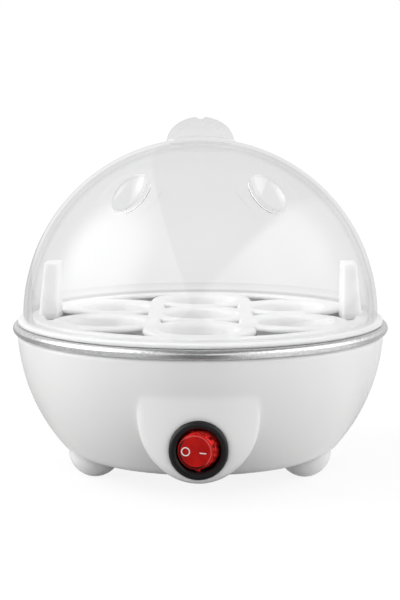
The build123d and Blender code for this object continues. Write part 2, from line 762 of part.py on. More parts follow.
# Cord gland pushed through the rear seat
gland_wall_inside = gland_seat_reach - gland_seat_wall - touch_gap
with BuildPart() as cord_gland:
    with BuildSketch(Plane.XZ.offset(-gland_seat_reach - touch_gap)):
        with Locations((0, gland_height)):
            Circle(gland_flange_radius)
    extrude(amount=-gland_flange)
    with BuildSketch(Plane.XZ.offset(-gland_seat_reach - touch_gap)):
        with Locations((0, gland_height)):
            Circle(gland_neck_radius)
    extrude(amount=gland_seat_wall + 2 * touch_gap + gland_lip_length)
    with BuildSketch(Plane.XZ.offset(-gland_wall_inside)):
        with Locations((0, gland_height)):
            Circle(gland_neck_radius + gland_lip)
    extrude(amount=gland_lip_length)
    fillet(cord_gland.edges().filter_by(GeomType.CIRCLE).sort_by(Axis.Y)[-1], gland_flange / 2)
    with BuildSketch(Plane.XZ.offset(-gland_seat_reach - gland_flange - overrun)):
        with Locations((0, gland_height)):
            Circle(gland_bore_radius)
    extrude(amount=gland_flange + gland_seat_wall + gland_lip_length + 2 * overrun, mode=Mode.SUBTRACT)
write_piece(cord_gland.part, "cord_gland")

# Switch: planes lie across the switch axis, pointing out of the front
bezel_front = panel_face - touch_gap - bezel_thickness
pivot_y = bezel_front + rocker_pivot_depth
pivot = (0, pivot_y, switch_height)
switch_plane = Plane(pivot, x_dir=(1, 0, 0), z_dir=(0, -1, 0))
barrel_radius = cutout_radius - fit_gap
barrel_bore = barrel_radius - barrel_wall
bezel_back = rocker_pivot_depth - bezel_thickness
barrel_back = bezel_back - barrel_length
floor_front = barrel_back + barrel_floor
latch_y = -sqrt((pod_face_radius - housing_wall) ** 2 - (cutout_radius + latch_height) ** 2)
latch_front = pivot_y - latch_y - touch_gap
lever_top = -(stem_reach + plunger_proud + lever_gap)
fulcrum_top = lever_top - lever_thickness - touch_gap
lever_swing = lever_half_length * sin(radians(lever_tilt))
contact_top = fulcrum_top - lever_swing - lever_gap
pivot_seat = fulcrum_top - lever_pivot_radius - touch_gap
terminal_tops = [contact_top, pivot_seat, floor_front + lamp_terminal_bite]
terminal_bottom = barrel_back - terminal_proud
with BuildPart() as switch_housing:
    with BuildSketch(switch_plane.offset(bezel_back)):
        Circle(bezel_radius)
    extrude(amount=bezel_thickness)
    fillet(switch_housing.edges().filter_by(GeomType.CIRCLE).sort_by(Axis.Y)[0], bezel_edge_radius)
    with BuildSketch(switch_plane.offset(barrel_back)):
        Circle(barrel_radius)
    extrude(amount=barrel_length)
    with BuildSketch(switch_plane.offset(latch_front)):
        with GridLocations(2 * barrel_radius, 0, 2, 1):
            Rectangle(2 * latch_height, latch_width)
    extrude(amount=-latch_length, taper=degrees(atan2(latch_height, latch_length)) / 2)
    with BuildSketch(switch_plane.offset(floor_front)):
        Circle(barrel_bore)
    extrude(amount=rocker_pivot_depth - floor_front + overrun, mode=Mode.SUBTRACT)
    chamfer(
        switch_housing.edges().filter_by(GeomType.CIRCLE).group_by(Axis.Y)[0].sort_by(SortBy.RADIUS)[0],
        bezel_lip,
    )
    # Holes of the rocker's pins, through both sides of the barrel
    with BuildSketch(Plane.XY.offset(switch_height)):
        with Locations((0, pivot_y)):
            Circle(rocker_pin_radius + fit_gap)
    extrude(amount=barrel_radius + overrun, both=True, mode=Mode.SUBTRACT)
    # Slots of the blade terminals
    with BuildSketch(switch_plane.offset(barrel_back - overrun)):
        with GridLocations(terminal_pitch, 0, 3, 1):
            Rectangle(blade_thickness + 2 * fit_gap, blade_width + 2 * fit_gap)
    extrude(amount=barrel_floor + 2 * overrun, mode=Mode.SUBTRACT)
write_piece(switch_housing.part, "switch_housing")

rest_turn = radians(-rocker_tilt)
rocker_plane = Plane(
    pivot,
    x_dir=(cos(rest_turn), sin(rest_turn), 0),
    z_dir=(sin(rest_turn), -cos(rest_turn), 0),
)
rocker_radius = barrel_bore - rocker_gap
cavity_radius = rocker_face_half_width - rocker_wall
cavity_roof = rocker_face_reach - rocker_wall
with BuildPart() as switch_rocker:
    with BuildSketch(rocker_plane):
        Circle(rocker_radius)
    extrude(amount=-rocker_side_depth)
    with BuildSketch(Plane.XY.offset(switch_height)):
        with Locations((0, pivot_y)):
            Circle(rocker_radius)
    extrude(amount=rocker_radius, both=True, mode=Mode.INTERSECT)
    with BuildSketch(rocker_plane):
        Circle(rocker_radius)
    with BuildSketch(rocker_plane.offset(rocker_face_reach)):
        Ellipse(rocker_face_half_width, rocker_face_half_height)
    loft()
    fillet(switch_rocker.faces().sort_by(Axis.Y)[0].edges(), rocker_face_edge)
    with BuildSketch(Plane.XY.offset(switch_height)):
        with Locations((0, pivot_y)):
            Circle(rocker_pin_radius)
    extrude(amount=barrel_bore + rocker_pin_bite, both=True)
    with BuildSketch(rocker_plane.offset(cavity_roof)):
        Circle(cavity_radius)
    extrude(amount=-cavity_roof - rocker_side_depth - overrun, mode=Mode.SUBTRACT)
    with BuildSketch(rocker_plane.offset(cavity_roof + fit_gap)):
        Circle(stem_radius)
    extrude(amount=-cavity_roof - stem_reach - fit_gap)
    with BuildSketch(rocker_plane.offset(-stem_reach)):
        Circle(plunger_radius + fit_gap)
    extrude(amount=plunger_length - plunger_proud + spring_length + 2 * touch_gap, mode=Mode.SUBTRACT)
write_piece(switch_rocker.part, "switch_rocker")

plunger_tip = -stem_reach - plunger_proud
with BuildPart() as switch_plunger:
    with BuildSketch(rocker_plane.offset(plunger_tip)):
        Circle(plunger_radius)
    extrude(amount=plunger_length)
    fillet(switch_plunger.edges().filter_by(GeomType.CIRCLE).sort_by(Axis.Y)[-1], plunger_radius / 2)
write_piece(switch_plunger.part, "switch_plunger")

with BuildPart() as switch_spring:
    with BuildSketch(rocker_plane.offset(plunger_tip + plunger_length + touch_gap)):
        Circle(plunger_radius)
        Circle(plunger_radius - spring_wall, mode=Mode.SUBTRACT)
    extrude(amount=spring_length)
write_piece(switch_spring.part, "switch_spring")

lamp_place = stem_radius + touch_gap + lamp_radius
with BuildPart() as switch_lamp:
    with BuildSketch(rocker_plane.offset(cavity_roof - touch_gap)):
        with Locations((lamp_place, 0)):
            Circle(lamp_radius)
    extrude(amount=-lamp_length)
write_piece(switch_lamp.part, "switch_lamp")

lever_turn = radians(lever_tilt)
lever_pivot_y = pivot_y - fulcrum_top
lever_plane = Plane(
    (0, lever_pivot_y, switch_height),
    x_dir=(cos(lever_turn), sin(lever_turn), 0),
    z_dir=(sin(lever_turn), -cos(lever_turn), 0),
)
with BuildPart() as contact_lever:
    with BuildSketch(lever_plane.offset(touch_gap)):
        Rectangle(2 * lever_half_length, lever_width)
    extrude(amount=lever_thickness)
    # Round bead that rocks on the middle terminal
    with BuildSketch(Plane.XY.offset(switch_height)):
        with Locations((0, lever_pivot_y)):
            Circle(lever_pivot_radius)
    extrude(amount=lever_width / 2, both=True)
write_piece(contact_lever.part, "contact_lever")

with BuildPart() as switch_terminals:
    for place, top in zip((-terminal_pitch, 0, terminal_pitch), terminal_tops):
        with BuildSketch(switch_plane.offset(terminal_bottom)):
            with Locations((place, 0)):
                Rectangle(blade_thickness, blade_width)
        extrude(amount=top - terminal_bottom)
write_piece(switch_terminals.part, "switch_terminals")

# Leads, each from one terminal's end to another's
blade_tip_y = pivot_y - terminal_bottom + touch_gap
lead_turn_y = blade_tip_y + lead_turn_run
lane_x = heater_circle - lead_lane_inset
lane_height = inner_floor + lead_lane_rise
lane_back = tail_y - lead_drop
left_pole = -block_pole_pitch / 2
right_pole = block_pole_pitch / 2
pair_offset = lead_radius + lead_pair_gap / 2
block_mouth = block_front + lead_radius
live_lead = lead_tube(
    (left_pole, block_mouth, pole_height),
    (left_pole, block_front - lead_drop, pole_height),
    (-lane_x, lane_back, lane_height),
    (-lane_x, -lead_lane_front, lane_height),
    (0, blade_tip_y + lead_cross_run, lane_height),
    (0, blade_tip_y + lead_rise_run, switch_height),
    (0, blade_tip_y, switch_height),
)
write_piece(live_lead, "live_lead")

lamp_lead = lead_tube(
    (right_pole + pair_offset, block_mouth, pole_height),
    (right_pole + pair_offset, block_front - lead_radius, pole_height),
    (lane_x, lane_back, lane_height),
    (lane_x, -lead_lane_front, lane_height),
    (terminal_pitch, lead_turn_y, switch_height),
    (terminal_pitch, blade_tip_y, switch_height),
)
write_piece(lamp_lead, "lamp_lead")

neutral_lead = lead_tube(
    (tail_x, tail_y, pin_bottom - touch_gap),
    (tail_x, tail_y, pole_height),
    (right_pole - pair_offset, tail_y + lead_side, pole_height),
    (right_pole - pair_offset, block_mouth, pole_height),
)
write_piece(neutral_lead, "neutral_lead")

blade_x = thermostat_blade_pitch / 2
blade_deck = blade_bottom - lead_drop
switched_lead = lead_tube(
    (-terminal_pitch, blade_tip_y, switch_height),
    (-terminal_pitch, lead_turn_y, switch_height),
    (-blade_x, 0, blade_deck),
    (-blade_x, 0, blade_bottom - touch_gap),
)
write_piece(switched_lead, "switched_lead")

fuse_lead_x = fuse_sleeve_length / 2 + lead_side
thermostat_lead = lead_tube(
    (blade_x, 0, blade_bottom - touch_gap),
    (blade_x, 0, blade_deck),
    (fuse_lead_x, fuse_place_y, blade_deck),
    (fuse_lead_x, fuse_place_y, fuse_height),
    (fuse_sleeve_length / 2 + touch_gap, fuse_place_y, fuse_height),
)
write_piece(thermostat_lead, "thermostat_lead")

pin_deck = pin_bottom - lead_drop
element_lead = lead_tube(
    (-fuse_sleeve_length / 2 - touch_gap, fuse_place_y, fuse_height),
    (-fuse_lead_x, fuse_place_y, fuse_height),
    (-fuse_lead_x, fuse_place_y, pin_deck),
    (-tail_x, tail_y, pin_deck),
    (-tail_x, tail_y, pin_bottom - touch_gap),
)
write_piece(element_lead, "element_lead")

# Egg tray: flange on the rim, raised plate with seven sockets, two handles
tray_underside = rim_top + seat_gap
flange_top = tray_underside + tray_plate
tray_top = flange_top + tray_step
plate_underside = tray_top - tray_plate
tray_step_radius = lid_radius - lid_band_wall - tray_step_clearance
tray_rim_inside = tray_step_radius - tray_rim_width
skirt_radius = dish_radius - tray_skirt_clearance
handle_place = tray_step_radius - handle_setback
half_step = half_turn / socket_ring_count
socket_circle = (tray_rim_inside + socket_rim_overlap - socket_ring_overlap) * 2 / 3
ring_radius = socket_circle / 2 + socket_ring_overlap
socket_mouth_radius = ring_radius - socket_ring_width
socket_throat_radius = socket_mouth_radius - socket_taper
ring_notch = sqrt(ring_radius**2 - (socket_circle / 2) ** 2)
neck_place = socket_circle * cos(radians(half_step))
side_socket = Vector(neck_place, socket_circle * sin(radians(half_step)))
other_socket = Vector(neck_place, -socket_circle * sin(radians(half_step)))
inner_gap_centre = Vector(socket_circle / (2 * cos(radians(half_step))), 0)
inner_gap_tip = Vector(neck_place - ring_notch, 0) - inner_gap_centre
outer_gap_spread = half_step - degrees(
    acos((tray_rim_inside**2 + socket_circle**2 - ring_radius**2) / (2 * tray_rim_inside * socket_circle))
)
outer_gap_tip = Vector(neck_place + ring_notch, 0)
outer_gap_side = Vector(tray_rim_inside, 0).rotate(Axis.Z, outer_gap_spread)
outer_gap_other = Vector(tray_rim_inside, 0).rotate(Axis.Z, -outer_gap_spread)


def ring_point(centre, towards):
    """Point of a socket's ring on the line from its centre towards another point."""
    return centre + (towards - centre).normalized() * ring_radius


with BuildSketch() as inner_gap:
    inner_turns = (0, full_turn / 3, full_turn * 2 / 3)
    inner_corners = [inner_gap_centre + inner_gap_tip.rotate(Axis.Z, turn) for turn in inner_turns]
    with BuildLine():
        ThreePointArc(inner_corners[0], ring_point(side_socket, inner_gap_centre), inner_corners[1])
        ThreePointArc(inner_corners[1], ring_point(Vector(0, 0), inner_gap_centre), inner_corners[2])
        ThreePointArc(inner_corners[2], ring_point(other_socket, inner_gap_centre), inner_corners[0])
    make_face()
    fillet(inner_gap.vertices(), tray_gap_corner)

with BuildSketch() as outer_gap:
    side_middle = (outer_gap_tip + outer_gap_side) * 0.5
    other_middle = (outer_gap_tip + outer_gap_other) * 0.5
    with BuildLine():
        ThreePointArc(outer_gap_tip, ring_point(side_socket, side_middle), outer_gap_side)
        ThreePointArc(outer_gap_side, Vector(tray_rim_inside, 0), outer_gap_other)
        ThreePointArc(outer_gap_other, ring_point(other_socket, other_middle), outer_gap_tip)
    make_face()
    fillet(outer_gap.vertices(), tray_gap_corner)

with BuildSketch() as tray_gaps:
    with PolarLocations(0, socket_ring_count):
        add(inner_gap.sketch)
        add(outer_gap.sketch)

with BuildPart() as socket_cup:
    with BuildSketch(Plane.XZ):
        Polygon(
            (0, tray_top - socket_depth),
            (socket_throat_radius + socket_wall, tray_top - socket_depth),
            (socket_mouth_radius + socket_wall, plate_underside),
            (socket_mouth_radius + socket_wall, tray_top),
            (0, tray_top),
            align=None,
        )
    revolve(axis=Axis.Z)

with BuildPart() as socket_hollow:
    with BuildSketch(Plane.XZ):
        Polygon(
            (0, tray_top - socket_depth),
            (socket_throat_radius, tray_top - socket_depth),
            (socket_mouth_radius, tray_top),
            (0, tray_top),
            align=None,
        )
    revolve(axis=Axis.Z)

handle_inset = 2 * handle_wall
with BuildPart() as egg_tray:
    # Raised plate with round-edged gaps between the sockets
    with BuildSketch(Plane.XY.offset(plate_underside)):
        Circle(tray_step_radius)
        add(tray_gaps.sketch, mode=Mode.SUBTRACT)
    extrude(amount=tray_plate)
    plate_edges = egg_tray.faces().sort_by(Axis.Z)[-1].edges().sort_by(SortBy.RADIUS)
    fillet(plate_edges[:-1], tray_gap_edge_radius)
    fillet(egg_tray.faces().sort_by(Axis.Z)[-1].edges().sort_by(SortBy.RADIUS)[-1], tray_edge_radius)
    # Flange that rests on the rim, and the skirt that drops into the dish
    with BuildSketch(Plane.XY.offset(tray_underside)):
        Circle(tray_radius)
        Circle(tray_step_radius - tray_plate, mode=Mode.SUBTRACT)
    extrude(amount=tray_plate)
    fillet(
        egg_tray.edges().filter_by(GeomType.CIRCLE).sort_by(SortBy.RADIUS)[-2:],
        tray_edge_radius,
    )
    with BuildSketch(Plane.XY.offset(tray_underside - tray_skirt_height)):
        Circle(skirt_radius)
        Circle(skirt_radius - tray_skirt_wall, mode=Mode.SUBTRACT)
    extrude(amount=tray_skirt_height + tray_plate / 2)
    # Conical sockets, one in the middle and a ring around it
    socket_places = PolarLocations(socket_circle, socket_ring_count, start_angle=half_step)
    add(socket_cup.part)
    with socket_places:
        add(socket_cup.part)
    add(socket_hollow.part, mode=Mode.SUBTRACT)
    with socket_places:
        add(socket_hollow.part, mode=Mode.SUBTRACT)
    mouth_edges = egg_tray.edges().filter_by(GeomType.CIRCLE)
    fillet(
        mouth_edges.filter_by(lambda edge: abs(edge.radius - socket_mouth_radius) < touch_gap),
        socket_lip_radius,
    )
    # Upright handles, hollow from below
    for side in (-1, 1):
        with BuildSketch(Plane.XY.offset(plate_underside)):
            with Locations((side * handle_place, 0)):
                RectangleRounded(handle_foot_depth, handle_foot_width, handle_corner_radius)
        with BuildSketch(Plane.XY.offset(tray_top + handle_height)):
            with Locations((side * (handle_place - handle_lean), 0)):
                RectangleRounded(handle_top_depth, handle_top_width, handle_corner_radius)
        loft()
    handle_tops = egg_tray.faces().filter_by(Axis.Z).sort_by(Axis.Z)[-2:]
    fillet(handle_tops.edges(), tray_edge_radius)
    for side in (-1, 1):
        with BuildSketch(Plane.XY.offset(plate_underside - touch_gap)):
            with Locations((side * handle_place, 0)):
                Rectangle(handle_foot_depth - handle_inset, handle_foot_width - handle_inset)
        with BuildSketch(Plane.XY.offset(tray_top + handle_height - handle_wall)):
            with Locations((side * (handle_place - handle_lean), 0)):
                Rectangle(handle_top_depth - handle_inset, handle_top_width - handle_inset)
        loft(mode=Mode.SUBTRACT)
write_piece(egg_tray.part, "egg_tray")

# Clear lid: dome with a thicker band at its edge, hollow fin knob and two vent scoops
dome_centre = Vector(0, 0, flange_top + seat_gap)
dome_base = dome_centre.Z
band_top = dome_base + lid_band_height
band_angle = degrees(asin(lid_band_height / (lid_radius - lid_wall)))
knob_centre = dome_base + lid_radius - knob_sink


def knob_fin(inset):
    """Upright fin on top of the dome, set in by a wall thickness."""
    with BuildPart() as fin:
        with BuildSketch(Plane.XZ):
            with Locations((0, knob_centre)):
                Ellipse(knob_half_width - inset, knob_half_height - inset)
        extrude(amount=knob_half_depth - inset, both=True)
        fillet(fin.edges().filter_by(GeomType.ELLIPSE), knob_edge_radius - inset)
    return fin.part


def vent_plane(side):
    """Plane over a vent's place on the dome, its x axis running down the dome."""
    turn = radians(side * vent_side_angle)
    tilt = radians(vent_polar_angle)
    outwards = Vector(sin(tilt) * sin(turn), -sin(tilt) * cos(turn), cos(tilt))
    downwards = Vector(cos(tilt) * sin(turn), -cos(tilt) * cos(turn), -sin(tilt))
    return Plane(dome_centre + outwards * (lid_radius + vent_lift), x_dir=downwards, z_dir=outwards)


def vent_scoop(side, grow):
    """Egg-shaped scoop whose long axis runs down the dome, grown by a wall thickness."""
    plane = vent_plane(side)
    with BuildPart() as scoop:
        with BuildSketch(plane):
            with BuildLine():
                arc = EllipticalCenterArc(
                    (0, 0), vent_half_length + grow, vent_half_width + grow, 0, arc_size=half_turn
                )
                Line(arc @ 1, arc @ 0)
            make_face()
        revolve(axis=Axis(plane.origin, plane.x_dir))
    return scoop.part


def vent_bulge(side):
    """Solid behind a scoop, kept under the middle of the dome's wall."""
    with BuildPart() as bulge:
        add(vent_scoop(side, lid_wall))
        with Locations(dome_centre):
            Sphere(lid_radius - lid_wall / 2, mode=Mode.INTERSECT)
    return bulge.part


def is_knob_root(edge):
    """Whether an edge runs on the dome's outer face, close round the knob."""
    middle = edge @ 0.5
    on_dome = abs((middle - dome_centre).length - lid_radius) < touch_gap
    return on_dome and Vector(middle.X, middle.Y).length < 2 * knob_half_width


def is_vent_edge(edge):
    """Whether an edge is the outline of a scoop on the dome's outer face."""
    middle = edge @ 0.5
    on_dome = abs((middle - dome_centre).length - lid_radius) < touch_gap
    return on_dome and middle.Z > band_top and Vector(middle.X, middle.Y).length > knob_half_width


with BuildPart() as knob_shell:
    add(knob_fin(0))
    with Locations(dome_centre):
        Sphere(lid_radius - lid_wall, mode=Mode.SUBTRACT)

vent_hole_place = vent_half_length * vent_hole_share
with BuildPart() as lid:
    with BuildSketch(Plane.XZ):
        with BuildLine():
            dome_out = CenterArc((0, dome_base), lid_radius, 0, 90)
            dome_in = CenterArc((0, dome_base), lid_radius - lid_wall, band_angle, 90 - band_angle)
            Line(dome_out @ 1, dome_in @ 1)
            Polyline(
                dome_in @ 0,
                (lid_radius - lid_band_wall, band_top),
                (lid_radius - lid_band_wall, dome_base),
                dome_out @ 0,
            )
        make_face()
    revolve(axis=Axis.Z)
    for side in (-1, 1):
        add(vent_bulge(side))
    for side in (-1, 1):
        add(vent_scoop(side, 0), mode=Mode.SUBTRACT)
        with BuildSketch(vent_plane(side)):
            with Locations((vent_hole_place, 0)):
                Circle(vent_hole_radius)
        extrude(amount=-2 * vent_half_width, mode=Mode.SUBTRACT)
    fillet(lid.edges().filter_by(is_vent_edge), vent_edge_radius)
    add(knob_shell.part)
    root_edges = lid.edges().filter_by(is_knob_root)
    fillet(root_edges.filter_by(GeomType.BSPLINE), knob_root_radius)
    add(knob_fin(lid_wall), mode=Mode.SUBTRACT)
    with BuildSketch(Plane.XZ):
        with Locations((0, knob_centre + knob_half_height + knob_notch_radius - knob_notch_depth)):
            Circle(knob_notch_radius)
    extrude(amount=knob_half_depth + overrun, both=True, mode=Mode.SUBTRACT)
write_piece(lid.part, "lid")
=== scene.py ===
import json
from math import cos, pi, radians, sin

import bmesh
import bpy
from mathutils import Matrix, Vector


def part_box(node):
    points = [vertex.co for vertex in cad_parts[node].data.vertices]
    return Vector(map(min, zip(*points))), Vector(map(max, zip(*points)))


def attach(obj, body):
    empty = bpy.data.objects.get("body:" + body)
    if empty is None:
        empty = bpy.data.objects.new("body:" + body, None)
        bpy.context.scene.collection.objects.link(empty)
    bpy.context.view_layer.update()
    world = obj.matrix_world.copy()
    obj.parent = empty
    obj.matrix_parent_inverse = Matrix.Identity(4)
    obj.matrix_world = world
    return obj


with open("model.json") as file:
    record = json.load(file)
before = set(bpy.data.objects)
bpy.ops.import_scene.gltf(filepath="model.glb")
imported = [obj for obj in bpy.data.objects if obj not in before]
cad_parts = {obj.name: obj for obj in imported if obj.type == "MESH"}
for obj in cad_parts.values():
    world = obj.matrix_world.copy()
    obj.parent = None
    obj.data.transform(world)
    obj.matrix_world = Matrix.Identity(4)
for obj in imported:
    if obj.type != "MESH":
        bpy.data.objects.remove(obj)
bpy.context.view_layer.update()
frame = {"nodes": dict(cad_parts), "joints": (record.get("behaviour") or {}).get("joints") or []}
nodes = frame["nodes"]
scene = bpy.context.scene

MM = 0.001
WHITE = (1.0, 1.0, 1.0)

# Sizes and angles repeated from the CAD model
HANDLE_HEIGHT = 22.0 * MM
ROCKER_FACE_REACH = 6.0 * MM
VENT_TURN = radians(32.8)  # to the side of the front
VENT_TILT = radians(42.5)  # down from the top of the dome

# Places worked out from the frame, in metres
lid_low, lid_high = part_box("lid")
LID_EDGE = lid_low.z
LID_RADIUS = lid_high.x
vent_direction = Vector(
    (sin(VENT_TILT) * sin(VENT_TURN), -sin(VENT_TILT) * cos(VENT_TURN), cos(VENT_TILT))
)
RIGHT_VENT = Vector((0.0, 0.0, LID_EDGE)) + LID_RADIUS * vent_direction
TRAY_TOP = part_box("egg_tray")[1].z - HANDLE_HEIGHT
rocker_joint = next(joint for joint in frame["joints"] if joint["name"] == "rocker_tilt")
ROCKER_PIVOT = Vector(rocker_joint["pos_m"])
ROCKER_REST = -radians(rocker_joint["range_deg"][1] / 2)
ROCKER_ACROSS = Vector((cos(ROCKER_REST), sin(ROCKER_REST), 0.0))
ROCKER_OUT = Vector((sin(ROCKER_REST), -cos(ROCKER_REST), 0.0))
ROCKER_UP = Vector((0.0, 0.0, 1.0))
ROCKER_FACE = ROCKER_PIVOT + ROCKER_OUT * ROCKER_FACE_REACH

# Span that holds most of a noise's values, and the levels of a fade that goes down
NOISE_SPAN = (0.3, 0.7)
FALLING = (1.0, 0.0)


def new_material(name):
    """Material with a node tree; returns it with its tree and its Principled shader."""
    mat = bpy.data.materials.new(name)
    mat.use_nodes = True
    tree = mat.node_tree
    return mat, tree, tree.nodes["Principled BSDF"]


def feed(tree, node, values):
    """Feeds a node's sockets, by name or number: links outputs, sets plain numbers and colours."""
    for key, value in values.items():
        socket = node.inputs[key]
        if isinstance(value, bpy.types.NodeSocket):
            tree.links.new(value, socket)
        elif socket.type == "RGBA":
            socket.default_value = (*value, 1.0)
        else:
            socket.default_value = value


def add_node(tree, kind, values=None, **settings):
    """Node of one kind, with its properties set and its sockets fed."""
    node = tree.nodes.new(kind)
    for key, value in settings.items():
        setattr(node, key, value)
    feed(tree, node, values or {})
    return node


def object_coords(tree):
    return add_node(tree, "ShaderNodeTexCoord").outputs["Object"]


def noise(tree, vector, scale, detail=3.0, roughness=0.55):
    values = {"Vector": vector, "Scale": scale, "Detail": detail, "Roughness": roughness}
    return add_node(tree, "ShaderNodeTexNoise", values).outputs["Fac"]


def ramp(tree, value, span, levels=(0.0, 1.0), kind="LINEAR"):
    """Takes a value from one level to another while it goes through a span."""
    values = {
        "Value": value,
        "From Min": span[0],
        "From Max": span[1],
        "To Min": levels[0],
        "To Max": levels[1],
    }
    return add_node(tree, "ShaderNodeMapRange", values, interpolation_type=kind).outputs["Result"]


def fade(tree, value, span, levels=(0.0, 1.0)):
    """Ramp with soft ends."""
    return ramp(tree, value, span, levels, "SMOOTHSTEP")


def number_math(tree, operation, *values):
    node = add_node(tree, "ShaderNodeMath", dict(enumerate(values)), operation=operation)
    return node.outputs["Value"]


def product(tree, first, *others):
    for other in others:
        first = number_math(tree, "MULTIPLY", first, other)
    return first


def vector_math(tree, operation, *values):
    """Vector operation; lengths, distances and dot products give a number."""
    node = add_node(tree, "ShaderNodeVectorMath", dict(enumerate(values)), operation=operation)
    gives_number = operation in ("LENGTH", "DISTANCE", "DOT_PRODUCT")
    return node.outputs["Value" if gives_number else "Vector"]


def split_xyz(tree, vector):
    return add_node(tree, "ShaderNodeSeparateXYZ", {"Vector": vector}).outputs


def join_xyz(tree, x, y, z):
    return add_node(tree, "ShaderNodeCombineXYZ", {"X": x, "Y": y, "Z": z}).outputs["Vector"]


def axis_distance(tree, where):
    """How far a place lies from the upright axis."""
    return vector_math(tree, "LENGTH", vector_math(tree, "MULTIPLY", where, (1.0, 1.0, 0.0)))


def mix_values(tree, factor, first, second):
    values = {"Factor": factor, "A": first, "B": second}
    return add_node(tree, "ShaderNodeMix", values, data_type="FLOAT").outputs["Result"]


def mix_colours(tree, factor, first, second):
    node = add_node(tree, "ShaderNodeMix", {"Factor": factor}, data_type="RGBA")
    ends = [number for number, socket in enumerate(node.inputs) if socket.type == "RGBA"]
    feed(tree, node, dict(zip(ends, (first, second))))
    return next(socket for socket in node.outputs if socket.type == "RGBA")


def seen_rays(tree):
    """1 for rays from the camera, straight or through clear plastic; also the ray kinds' outputs."""
    path = add_node(tree, "ShaderNodeLightPath").outputs
    return number_math(tree, "MAXIMUM", path["Is Camera Ray"], path["Is Transmission Ray"]), path


def add_bump(tree, bsdf, height, strength, distance, soften=0.0):
    """Bump from a height; soften is the radius over which creases are rounded."""
    bump = add_node(tree, "ShaderNodeBump", {"Strength": strength, "Distance": distance, "Height": height})
    if soften:
        rounded = add_node(tree, "ShaderNodeBevel", {"Radius": soften}, samples=8)
        feed(tree, bump, {"Normal": rounded.outputs["Normal"]})
    feed(tree, bsdf, {"Normal": bump.outputs["Normal"]})


def moulded_plastic(
    name,
    light,
    dark,
    rough,
    rough_spread,
    wave,
    bump,
    coat=0.0,
    soften=0.0,
    shine=0.5,
    glow=0.0,
    painted_light_above=None,
):
    """Moulded plastic: faint cloudy tone, uneven gloss and a slight waviness of the surface.

    wave is the scale of the waviness, glow the depth that light reaches into the plastic, and
    painted_light_above a height from which the colour turns paler, as painted light.
    """
    cloud_scale = 30.0
    sheen_scale = 75.0
    painted_light_colour = (0.90, 0.90, 0.898)
    mat, tree, bsdf = new_material(name)
    where = object_coords(tree)
    tone = ramp(tree, noise(tree, where, cloud_scale, detail=4.0), NOISE_SPAN)
    colour = mix_colours(tree, tone, dark, light)
    # Painted light: the colour turns paler above the given height, standing in for the light that shines
    # through the tray's handles
    if painted_light_above:
        painted_light_span = (painted_light_above + 0.2 * MM, painted_light_above + 1.2 * MM)
        above = fade(tree, split_xyz(tree, where)["Z"], painted_light_span)
        colour = mix_colours(tree, above, colour, painted_light_colour)
    sheen = noise(tree, where, sheen_scale)
    gloss = ramp(tree, sheen, NOISE_SPAN, (rough - rough_spread, rough + rough_spread))
    feed(tree, bsdf, {"Base Color": colour, "Roughness": gloss, "Specular IOR Level": shine})
    waves = noise(tree, where, wave, detail=2.0)
    add_bump(tree, bsdf, waves, strength=bump, distance=0.1 * MM, soften=soften)
    if coat:
        feed(tree, bsdf, {"Coat Weight": coat, "Coat Roughness": 0.08})
    if glow:
        feed(tree, bsdf, {"Subsurface Weight": 0.6, "Subsurface Radius": WHITE, "Subsurface Scale": glow})
    return mat


def plain_metal(name, light, dark, rough, grain):
    """Metal with a fine blotchy grain in tone and gloss."""
    patch_share = 0.35
    mat, tree, bsdf = new_material(name)
    where = object_coords(tree)
    grains = noise(tree, where, grain, detail=4.0, roughness=0.6)
    colour = mix_colours(tree, ramp(tree, grains, NOISE_SPAN), dark, light)
    patches = noise(tree, where, grain * patch_share)
    gloss = ramp(tree, patches, NOISE_SPAN, (rough - 0.07, rough + 0.1))
    feed(tree, bsdf, {"Base Color": colour, "Roughness": gloss, "Metallic": 1.0})
    add_bump(tree, bsdf, grains, strength=0.12, distance=0.08 * MM)
    return mat


def spun_steel(name):
    """Drawn steel sheet: fine streaks that run round the upright axis."""
    streak_scale = 1500.0
    metres_a_radian = 0.035
    patch_scale = 120.0
    patch_share = 0.6
    dark = (0.49, 0.49, 0.493)
    light = (0.69, 0.69, 0.693)
    roughness_levels = (0.19, 0.29)
    mat, tree, bsdf = new_material(name)
    where = object_coords(tree)
    place = split_xyz(tree, where)
    angle = number_math(tree, "ARCTAN2", place["X"], place["Y"])
    round_axis = join_xyz(tree, product(tree, angle, metres_a_radian), axis_distance(tree, where), place["Z"])
    streak = noise(tree, round_axis, streak_scale, roughness=0.6)
    patch = noise(tree, where, patch_scale, detail=4.0, roughness=0.6)
    colour = mix_colours(tree, ramp(tree, streak, NOISE_SPAN), dark, light)
    gloss = ramp(tree, patch, NOISE_SPAN, roughness_levels)
    feed(tree, bsdf, {"Base Color": colour, "Roughness": gloss, "Metallic": 1.0})
    bumps = number_math(tree, "ADD", streak, product(tree, patch, patch_share))
    add_bump(tree, bsdf, bumps, strength=0.05, distance=0.1 * MM)
    return mat


# Lid: tints of its clear plastic and of its painted shade lines, and heights above its edge where they begin
# and end
LID_TINTS = ((0.963, 0.963, 0.964), (0.977, 0.977, 0.978))
LOW_TINT = (0.93, 0.93, 0.931)
LOW_SPAN = (2.0 * MM, 35.0 * MM)
SLANTED_TINT = (0.85, 0.85, 0.852)
# Painted shade: tint of the dark line along the wall's inner side
WALL_LINE_SHADE = (0.68, 0.68, 0.682)
FROST_TINT = (0.9, 0.9, 0.901)
# Painted shade along the band's upper edge, and the heights where it begins, is full and ends
BAND_EDGE_SHADE = (0.85, 0.85, 0.851)
BAND_START = 2.2 * MM
BAND_FULL = 5.0 * MM
BAND_END = 5.6 * MM
# Painted shade under the lid's lower edge, and the heights it spans
LOWER_EDGE_SHADE = (0.69, 0.69, 0.692)
LOWER_EDGE_SHADE_SPAN = (1.4 * MM, 2.4 * MM)


